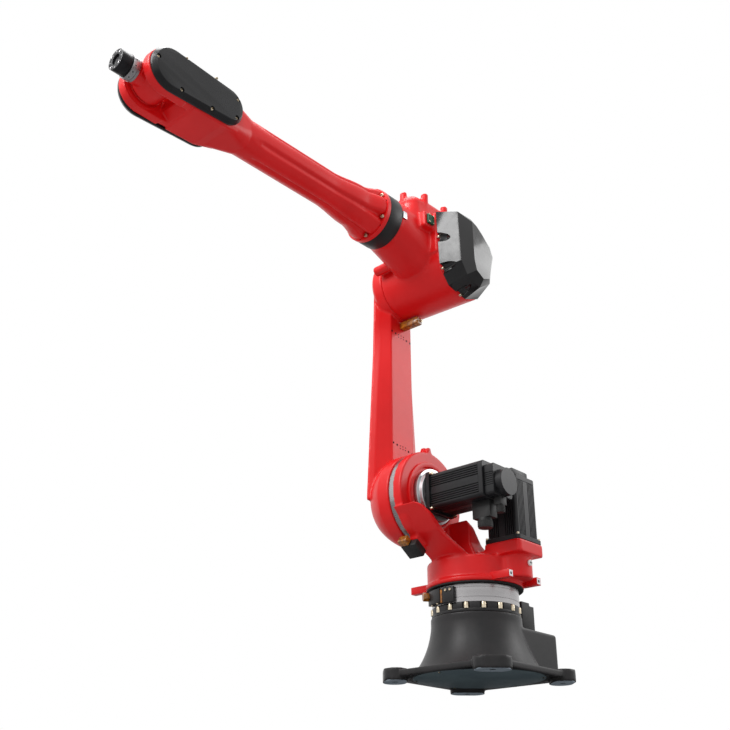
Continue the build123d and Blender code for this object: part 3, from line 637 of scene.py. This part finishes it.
def ribbed_collar(bm, place, axis, radius, low, high, ribs=28):
    """The knurled nut of a plug: a tube of flat ribs round its axis."""
    axis = Vector(axis).normalized()
    side = axis.orthogonal().normalized()
    other = axis.cross(side)
    rows = []
    for k in range(4 * ribs):
        a = 2 * math.pi * k / (4 * ribs)
        r = radius if k % 4 < 2 else radius - 0.0011
        ray = side * math.cos(a) + other * math.sin(a)
        rows.append([bm.verts.new(Vector(place) + ray * s + axis * h)
                     for s, h in ((r - 0.003, low), (r, low + 0.001), (r, high - 0.001), (r - 0.003, high))])
    for near, far in zip(rows, rows[1:] + rows[:1]):
        for j in range(3):
            bm.faces.new([near[j], far[j], far[j + 1], near[j + 1]])


fit(shade(mesh_piece("axis_2_power_plug_nut", lambda bm: ribbed_collar(
    bm, (X2, 0.165, 0.401), (0, 0, 1), 0.0225, 0.003, 0.021))), "turret", nylon)
fit(shade(mesh_piece("axis_2_signal_plug_nut", lambda bm: ribbed_collar(
    bm, (X2, 0.222, 0.4370), (0, 0, 1), 0.0132, 0.002, 0.015, 20))), "turret", nylon)

# Stop of axis 2 on the lug under the shoulder: a moulded black block and an amber bumper.
# Beside it the gear head of the shoulder, turned from steel, shows its bare rim.

fit(eased("axis_2_stop_pad", 1.5, "axis_2_stop_block"), "turret", nylon,
    ["axis_2_stop_block"])
fit(eased("axis_2_bumper_cup", 3.0, "axis_2_stop_bumper"), "turret", amber_bumper,
    ["axis_2_stop_bumper"])
OUTER, INNER = -0.083, -0.063
fit(turned("axis_2_gear_head", [
    (0.0, OUTER), (0.1405, OUTER), (0.1415, OUTER + 0.001), (0.1415, OUTER + 0.0055), (0.143, OUTER + 0.006),
    (0.143, INNER), (0.0, INNER)], (X2, 0, Z2), (0, 1, 0), 128), "turret", turned_steel,
    ["axis_2_reducer"])

# Upper arm: one long iron casting with a flat panel inside, slanting flanks and a domed boss at each end.
# It is enamelled red after casting, and its panel is drilled and tapped for cable clips.

arm = cast(copy_of("upper_arm_cast_body", "upper_arm_casting"), 3.5, 4, keep=0.5)
fit(arm, "upper_arm", red_enamel, ["upper_arm_casting"])
fit(eased("axis_3_bumper_cup", 2.5, "axis_3_stop_bumper"), "upper_arm", amber_bumper,
    ["axis_3_stop_bumper"])


def arm_holes(z):
    """One row of tapped holes across the panel, and between them the smaller ones of a clip."""
    big, small = 0.0034, 0.0021
    row = [(x, -0.1432, z + 0.16 * (x - 0.160)) for x in (0.114, 0.132, 0.188, 0.206)]
    clip = [(x, -0.1432, z + dz) for x in (0.147, 0.160, 0.173) for dz in (-0.0045, 0.0045)]
    return (row, big), (clip, small)


# The tapped holes are near-black discs on the panel: painted shade in their mouths.
for level, z in (("low", 0.726), ("high", 1.128)):
    for size, (places, radius) in zip(("main", "clip"), arm_holes(z)):
        discs("upper_arm_holes_" + level + "_" + size, places, (0, 1, 0), radius, 0.0005, "upper_arm",
              hole_shade)
screws("axis_3_bumper_screws", [(0.1595, -0.068, 1.1700), (0.1445, -0.068, 1.1700)], (0, 1, 0), 0.0052, 0.005,
       "upper_arm")

# Elbow: the iron housing of axes 3 and 4, with a drum across the arm, a crown above it and a round neck
# towards the forearm. A faceted moulding is screwed over its drive, with a green socket beside it.

elbow = copy_of("elbow_cast_body", "elbow_housing")
for vertex in elbow.data.vertices:
    if vertex.co.z > 1.470:
        # the crown falls and narrows towards the neck, while its bosses keep their height
        fall = min(max((vertex.co.x - 0.25) / 0.118, 0.0), 1.0) ** 2
        if vertex.co.z < 1.5265:
            vertex.co.z -= 0.005 * fall
            vertex.co.y *= 1 - 0.12 * fall if abs(vertex.co.y) > 0.05 else 1
        vertex.co.x -= 0.010 * fall
elbow = cast(elbow, 3.5, 5, keep=0.6)
fit(elbow, "elbow", red_enamel, ["elbow_housing"])

# Gloss black ABS: a vacuum-smooth moulding that mirrors the room in its facets.
gloss_abs, shader = new_surface("gloss_black_abs", 0.12, specular=0.5)
skin(gloss_abs, shader, "#171717", "#1D1C1D", patch_mm=90, grain_mm=25.0, depth_mm=0.1, rough_low=0.09,
     rough_high=0.16)


def carve(piece, name, fill):
    """Cuts a temporary solid out of a piece."""
    tool = mesh_piece(name, fill)
    cut = piece.modifiers.new("cut", "BOOLEAN")
    cut.object = tool
    cut.operation = "DIFFERENCE"
    apply_modifiers(piece)
    bpy.data.objects.remove(tool)
    return piece


COVER_SCREWS = [(0.294, 1.355), (0.277, 1.238), (0.184, 1.173), (0.062, 1.262), (0.052, 1.385),
                (0.150, 1.448)]
# Seat of the screw heads, 3.5 mm in front of the cover's back.
SCREW_SEAT = 0.1275
X3, Z3 = 0.160, 1.303


def scoops(bm):
    """A pointed recess at each screw, open at the seam and running in along the side of the cover."""
    for x, z in COVER_SCREWS:
        run = Vector((0.28 * (X3 - x), 0.061, 0.28 * (1.325 - z)))
        ring(bm, [(0.0, 0.0), (0.0200, 0.0), (0.0195, 0.014), (0.0160, 0.032), (0.0090, 0.046), (0.0, 0.056)],
             (x, SCREW_SEAT, z), run, 24)


drive_cover = carve(eased("elbow_drive_cover", 2.5, "elbow_cover", segments=3), "scoop_tool", scoops)
fit(shade(drive_cover, 14.0), "elbow", gloss_abs, ["elbow_cover"])
screws("elbow_cover_screws", [(X3 + (x - X3) * 0.95, SCREW_SEAT, Z3 + (z - Z3) * 0.95)
                              for x, z in COVER_SCREWS], (0, 1, 0), 0.0046, 0.007, "elbow")

# Green moulded socket beside the cover, with four small screws.
green_moulding, shader = new_surface("moulded_green_nylon", 0.45)
skin(green_moulding, shader, "#12452F", "#1B5A3E", patch_mm=8, grain_mm=0.8, depth_mm=0.04, rough_low=0.4,
     rough_high=0.55)
fit(eased("elbow_signal_socket", 1.5, "elbow_connector"), "elbow", green_moulding,
    ["elbow_connector"])
screws("elbow_socket_screws", [(0.314 + x, 0.1245, 1.410 + z) for x in (-0.0105, 0.0105)
                               for z in (-0.0132, 0.0132)], (0, 1, 0), 0.0028, 0.0022, "elbow")
fit(eased("axis_4_collar", 2.0, "axis_4_ring"), "elbow", black_enamel, ["axis_4_ring"])


FOREARM_Z = 1.396


def turned_point(x, radius, degrees):
    """A place on the forearm's axis frame, at an angle from +Y towards +Z."""
    a = math.radians(degrees)
    return x, radius * math.cos(a), FOREARM_Z + radius * math.sin(a)


def mark_tab(bm):
    """Small bare plate beside the collar that marks the zero of axis 4."""
    rows = []
    for degrees in (-9, -4, 1, 6):
        rows.append([bm.verts.new(turned_point(x, r, degrees)) for x, r in
                     ((0.399, 0.086), (0.399, 0.0925), (0.4165, 0.0925), (0.4165, 0.086))])
    loft(bm, rows)


fit(shade(mesh_piece("axis_4_mark_tab", mark_tab), 20.0), "elbow", bare_aluminium)

# Forearm: a light iron casting with a bolted flange, a fluted tube that flares at both ends and a fork
# for the wrist. Six cap screws hold it to the collar of axis 4, each in its own pocket.

LOBES = [30, 90, 150, 210, 270, 330]


def mix(x, table):
    """Value between the rows of a table of (place, value), eased at each row."""
    for (x0, v0), (x1, v1) in zip(table, table[1:]):
        if x <= x1:
            s = min(max((x - x0) / (x1 - x0), 0.0), 1.0)
            return v0 + (v1 - v0) * s * s * (3 - 2 * s)
    return table[-1][1]


def forearm_body(bm):
    """Fluted tube with a pocket at each flange screw, and behind it the fork from the CAD node."""
    bm.from_mesh(nodes["forearm_casting"].data)
    cut = bmesh.ops.bisect_plane(bm, geom=bm.verts[:] + bm.edges[:] + bm.faces[:], dist=1e-6,
                                 plane_co=(0.985, 0, 0), plane_no=(1, 0, 0), clear_inner=True)
    bmesh.ops.holes_fill(bm, edges=[e for e in cut["geom_cut"] if isinstance(e, bmesh.types.BMEdge)])
    rows = []
    rings, first_ring, pitch = 106, 0.4880, 0.0052
    for k in range(rings):
        x = first_ring + pitch * k
        size = mix(x, [(0.488, 0.0850), (0.560, 0.0680), (0.690, 0.0550), (1.050, 0.0545)])
        deep = mix(x, [(0.488, 0.0185), (0.500, 0.0165), (0.545, 0.0085), (0.620, 0.0064), (0.940, 0.0056),
                       (1.020, 0.0)])
        wide = mix(x, [(0.488, 9.5), (0.545, 6.5), (0.660, 6.5), (1.050, 8.0)])
        row = []
        for j in range(180):
            degrees = 2.0 * j
            off = min(abs((degrees - lobe + 180) % 360 - 180) for lobe in LOBES)
            radius = size + 0.0012 - deep * math.exp(-(off / wide) ** 2 * 1.1)
            row.append(bm.verts.new(turned_point(x, radius, degrees)))
        rows.append(row)
    loft(bm, rows)
    # a plain block with broken corners fills the root of the fork
    fill, bevel = [], 0.004
    for x, wide, half in ((1.086, 0.0570, 0.0500), (1.142, 0.0665, 0.0612), (1.238, 0.0665, 0.0652)):
        cut = half - 0.005
        fill.append([bm.verts.new((x, y, FOREARM_Z + z)) for y, z in
                     ((-wide, -cut), (bevel - wide, -half), (wide - bevel, -half), (wide, -cut),
                      (wide, cut), (wide - bevel, half), (bevel - wide, half), (-wide, cut))])
    loft(bm, fill)


forearm = cast(mesh_piece("forearm_cast_body", forearm_body), 2.5, 2, keep=0.6)
fit(forearm, "forearm", red_enamel, ["forearm_casting"])
fit(turned("forearm_flange", [
    (0.0, 0.4744), (0.0895, 0.4744), (0.0910, 0.4756), (0.0910, 0.4882), (0.0895, 0.4900), (0.0, 0.4904)],
    (0, 0, FOREARM_Z), (1, 0, 0), 128), "forearm", red_enamel)
screws("forearm_flange_screws", [turned_point(0.4900, 0.0790, lobe) for lobe in LOBES], (1, 0, 0), 0.0070,
       0.0085, "forearm")
# The dowel holes are near-black discs on the flange: painted shade.
discs("forearm_dowel_holes", [turned_point(0.4900, 0.0860, lobe - 19) for lobe in LOBES], (1, 0, 0), 0.0021,
      0.0006, "forearm", hole_shade)

# Long oval covers over the belts of the wrist, moulded in black with a wide bevel.
# Seven small screws in notches of the bevel hold each one to the fork.

# Smooth black moulding, a little less glossy than the elbow's cover.
satin_abs, shader = new_surface("satin_black_abs", 0.3, specular=0.3)
skin(satin_abs, shader, "#19191A", "#202022", patch_mm=60, grain_mm=1.0, depth_mm=0.04, rough_low=0.24,
     rough_high=0.36)
BELT_SCREWS = [(1.3800, 1.404), (1.299, 1.3445), (1.1965, 1.3455), (1.112, 1.3650), (1.291, 1.4570),
               (1.188, 1.4560), (1.112, 1.4270)]


def belt_cover(name, side, stands_for):
    """A cover with a round notch in its bevel at each screw."""
    seats = [(x, side * 0.0785, z) for x, z in BELT_SCREWS]

    def notches(bm):
        for seat in seats:
            ring(bm, [(0.0, 0.0), (0.0068, 0.0), (0.0068, 0.02), (0.0, 0.02)], seat, (0, side, 0), 24)

    cover = eased(name, 1.0, stands_for)
    # the photo's cover stands thicker than the CAD node and ends a little shorter in front
    for vertex in cover.data.vertices:
        vertex.co.y += side * 0.4 * (abs(vertex.co.y) - 0.067)
        vertex.co.x -= 0.006 * min(max((vertex.co.x - 1.20) / 0.2, 0.0), 1.0)
    carve(cover, "notch_tool", notches)
    fit(shade(cover, 30.0), "forearm", satin_abs, [stands_for])
    screws(name + "_screws", seats, (0, side, 0), 0.0042, 0.0045, "forearm")


belt_cover("wrist_belt_cover_left", 1, "wrist_cover_left")
belt_cover("wrist_belt_cover_right", -1, "wrist_cover_right")

# Wrist: a stepped iron hub, turned and enamelled red, that tilts between bearing rims in the fork.
# Its nose ends in the turned steel face ring of axis 6.

X5, Z5 = 1.332, FOREARM_Z
for side, hand in ((-1, "right"), (1, "left")):
    rim = turned("fork_bearing_rim_" + hand, [
        (0.060, -0.001), (0.060, 0.0014), (0.0585, 0.0024), (0.0525, 0.0026), (0.0515, 0.0014),
        (0.0450, 0.0014), (0.0440, 0.0030), (0.0340, 0.0030), (0.0335, -0.001)], (X5, side * 0.040, Z5),
        (0, -side, 0), 96)
    fit(rim, "forearm", red_enamel)
hub = turned("wrist_tilt_drum", [
    (0.0, -0.0396), (0.0300, -0.0396), (0.0300, -0.0340), (0.0420, -0.0340), (0.0428, -0.0300),
    (0.0488, -0.0296), (0.0500, -0.0280), (0.0500, 0.0280), (0.0488, 0.0296), (0.0428, 0.0300),
    (0.0420, 0.0340), (0.0300, 0.0340), (0.0300, 0.0396), (0.0, 0.0396)], (X5, 0, Z5), (0, 1, 0), 96)
fit(hub, "wrist", red_enamel, ["wrist_hub"])
nose = turned("wrist_nose", [
    (0.0, 0.0), (0.0340, 0.0), (0.0340, 0.0555), (0.0332, 0.0565), (0.0332, 0.0580), (0.0340, 0.0590),
    (0.0340, 0.0612), (0.0330, 0.0620), (0.0, 0.0620)], (X5, 0, Z5), (1, 0, 0), 96)
fit(nose, "wrist", red_enamel)
fit(turned("axis_6_face_ring", [
    (0.0, 0.0), (0.0342, 0.0), (0.0350, 0.0008), (0.0350, 0.0068), (0.0336, 0.0074), (0.0336, 0.0092),
    (0.0350, 0.0098), (0.0350, 0.0232), (0.0342, 0.0240), (0.0, 0.0240)], (1.394, 0, Z5), (1, 0, 0), 96),
    "wrist", turned_steel, ["wrist_flange_ring"])
# Twelve near-black discs round the face ring: painted shade in the mouths of its holes.
for k in range(12):
    a = math.radians(30 * k + 8)
    ray = (0.0, math.cos(a), math.sin(a))
    discs("axis_6_ring_hole_%02d" % k, [(1.4105, 0.0350 * ray[1], Z5 + 0.0350 * ray[2])], ray, 0.0019, 0.0002,
          "wrist", hole_shade)

# Tool flange, turned from steel and finished in black oxide, with a pilot and four tapped holes for
# the tool. Bright countersinks show in its end face.

black_oxide, shader = new_surface("black_oxide_steel", 0.45, specular=0.15)
skin(black_oxide, shader, "#1A1A1C", "#242427", patch_mm=15, grain_mm=1.0, depth_mm=0.04, rough_low=0.28,
     rough_high=0.42)
fit(eased("tool_mounting_hub", 0.8, "tool_hub"), "tool", black_oxide, ["tool_hub"])


def face_rings(bm):
    """Bright countersinks round the tapped holes in the end face, and four small dowel holes between."""
    end_face = 1.4520
    for k in range(4):
        ring(bm, [(0.0030, 0.0), (0.0042, 0.0003), (0.0046, 0.0)], turned_point(end_face, 0.025, 45 + 90 * k),
             (1, 0, 0), 24)
    for k in range(4):
        ring(bm, [(0.0, 0.0), (0.0012, 0.0003), (0.0019, 0.0003), (0.0022, 0.0)],
             turned_point(end_face, 0.0255, 90 * k), (1, 0, 0), 16)


fit(shade(mesh_piece("tool_face_countersinks", face_rings)), "tool", turned_steel)

# Plain grey floor of sealed concrete at the feet. It is seen from above only, because the photograph is
# taken from below it.

floor = mesh_piece("floor", lambda bm: bm.faces.new(
    [bm.verts.new((x, y, -0.001)) for x, y in ((-9, -9), (9, -9), (9, 9), (-9, 9))]))
floor_paint, shader = new_surface("grey_floor", 0.7)
skin(floor_paint, shader, "#8B8B8D", "#939394", patch_mm=400, grain_mm=20, depth_mm=0.05, rough_low=0.6,
     rough_high=0.8)
geometry = add(floor_paint, "ShaderNodeNewGeometry")
clear = add(floor_paint, "ShaderNodeBsdfTransparent")
one_side = add(floor_paint, "ShaderNodeMixShader", links={
    "Fac": geometry.outputs["Backfacing"], 1: shader.outputs[0], 2: clear.outputs[0]})
floor_paint.node_tree.links.new(one_side.outputs[0],
                                floor_paint.node_tree.nodes["Material Output"].inputs["Surface"])
paint(floor, floor_paint)
floor.visible_diffuse = False
floor.visible_transmission = False
floor.visible_shadow = False

# White world: full strength where the camera sees it or metal and glass mirror it, and dimmer as the
# light that falls on surfaces, so that colours render about as they are written.
world = bpy.data.worlds.new("studio")
bpy.context.scene.world = world
world.use_nodes = True
WHITE = (1.0, 1.0, 1.0, 1.0)
ambient = world.node_tree.nodes["Background"]
ambient.inputs["Color"].default_value = WHITE
ambient.inputs["Strength"].default_value = 0.54
backdrop = add(world, "ShaderNodeBackground", values={"Color": WHITE, "Strength": 1.0})
rays = add(world, "ShaderNodeLightPath").outputs
mirrored = add(world, "ShaderNodeMath", {"operation": "MAXIMUM"},
               {0: rays["Is Glossy Ray"], 1: rays["Is Transmission Ray"]})
seen = add(world, "ShaderNodeMath", {"operation": "MAXIMUM"},
           {0: rays["Is Camera Ray"], 1: mirrored.outputs[0]})
mixer = add(world, "ShaderNodeMixShader", links={
    0: seen.outputs[0], 1: ambient.outputs[0], 2: backdrop.outputs[0]})
world.node_tree.links.new(mixer.outputs[0], world.node_tree.nodes["World Output"].inputs["Surface"])


def softbox(name, target, towards, distance, size, radiance):
    """A square area lamp that shines on a point of the arm from a direction."""
    data = bpy.data.lights.new(name, "AREA")
    data.shape = "SQUARE"
    data.size = size
    data.energy = radiance * math.pi * size * size
    lamp = bpy.data.objects.new(name, data)
    bpy.context.scene.collection.objects.link(lamp)
    lamp.location = Vector(target) + Vector(towards).normalized() * distance
    lamp.rotation_mode = "QUATERNION"
    lamp.rotation_quaternion = (-Vector(towards)).to_track_quat("-Z", "Y")


MIDDLE = (0.45, 0.0, 0.85)
softbox("softbox_front_high", MIDDLE, (0.745, -0.15, 0.58), 3.2, 1.5, 10.0)
softbox("softbox_rear_low", (0.16, -0.14, 0.93), (-0.700, 0.588, 0.405), 3.6, 1.7, 3.8)
softbox("softbox_top", MIDDLE, (0.05, -0.1, 1.0), 4.0, 2.4, 5.5)
softbox("softbox_cover", (0.27, 0.155, 1.475), (0.791, 0.399, 0.460), 3.0, 0.60, 11.0)

bpy.context.scene.view_settings.view_transform = "Standard"
